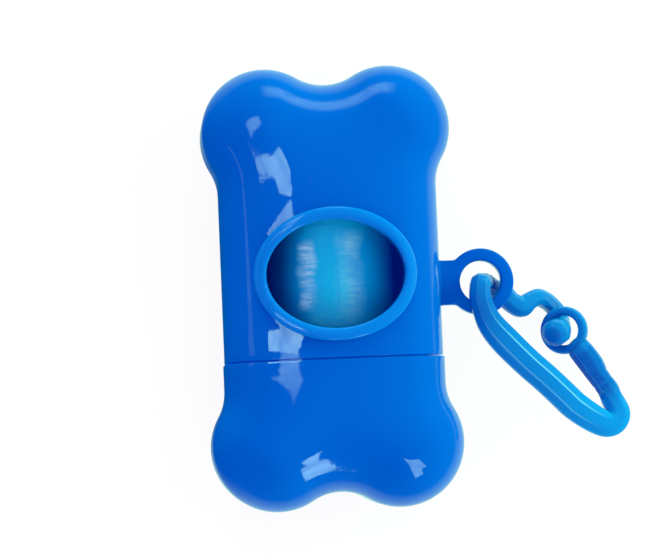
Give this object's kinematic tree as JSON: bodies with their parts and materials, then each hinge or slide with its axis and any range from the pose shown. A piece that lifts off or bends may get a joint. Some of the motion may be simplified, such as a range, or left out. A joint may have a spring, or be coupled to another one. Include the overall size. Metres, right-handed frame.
{
  "type": "dog poop bag dispenser",
  "caption": "Bone-shaped pocket dispenser for a roll of waste bags, with an oval window, a pull-off cap and a hanging clip.",
  "frame": {"origin": "on the surface that the flat back rests on, under the middle of the casing", "axes": "+X across the casing towards the hanging eye and clip, +Y along the casing away from the cap, +Z out of the window"},
  "size_m": [0.0818, 0.0842, 0.0345],
  "materials": {
    "casing_plastic": "glossy moulded blue plastic with soft edges",
    "rim_plastic": "lighter blue plastic, satin gloss",
    "clip_plastic": "soft, slightly clear blue plastic with moulded ridges",
    "bag_film": "thin crinkled film wound tight, with bands of fine wrinkles",
    "core_board": "plain brown paper board"
  },
  "bodies": {
    "casing": {"housing": "casing_plastic", "window_rim": "rim_plastic"},
    "cap": {"cap": "casing_plastic"},
    "roll": {"roll_core": "core_board", "bag_roll": "bag_film"},
    "clip": {"clip_frame": "clip_plastic"},
    "gate": {"clip_gate": "clip_plastic"}
  },
  "joints": [
    {"name": "cap_pull", "type": "slide", "parent": "casing", "child": "cap", "axis": [0, -1, 0], "range_m": [0, 0.05]},
    {"name": "roll_spin", "type": "hinge", "parent": "cap", "child": "roll", "pos_m": [0, 0, 0.01605], "axis": [0, 1, 0], "continuous": true},
    {"name": "clip_swing", "type": "hinge", "parent": "casing", "child": "clip", "pos_m": [0.02895, 0.0002, 0.0166], "axis": [0, 0, 1], "range_deg": [-35, 120]},
    {"name": "gate_lift", "type": "hinge", "parent": "clip", "child": "gate", "pos_m": [0.05306, -0.01995, 0.01], "axis": [0.7515, 0.5696, 0.333], "range_deg": [0, 35]}
  ]
}
